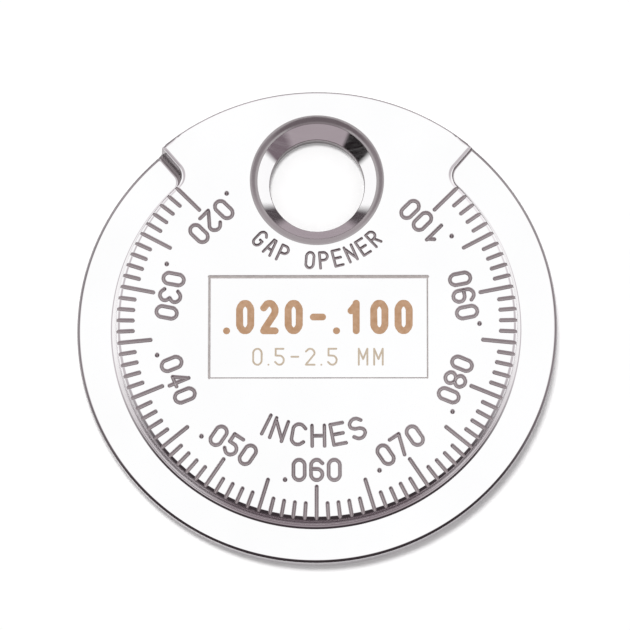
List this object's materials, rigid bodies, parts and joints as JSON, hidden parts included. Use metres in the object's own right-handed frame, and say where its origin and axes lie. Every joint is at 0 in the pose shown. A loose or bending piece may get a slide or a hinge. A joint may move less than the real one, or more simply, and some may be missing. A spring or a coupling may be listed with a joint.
{
  "type": "spark plug gap gauge",
  "caption": "Coin-shaped gauge for spark plug gaps, with an engraved dial, a ramped measuring rim and a hole that bends the plug's electrode.",
  "frame": {"origin": "centre of the disc's flat back, on the surface that it lies on", "axes": "+Z out of the dial, +Y from the disc's centre towards the hole, +X to the right as the dial is read, towards the thick end of the ramp"},
  "size_m": [0.042, 0.042, 0.003],
  "materials": {
    "chrome": "polished chrome plating over die-cast metal",
    "print": "brown ink, printed inside the dial's ruled frame"
  },
  "bodies": {
    "root": {"gauge_disc": "chrome"}
  },
  "joints": []
}
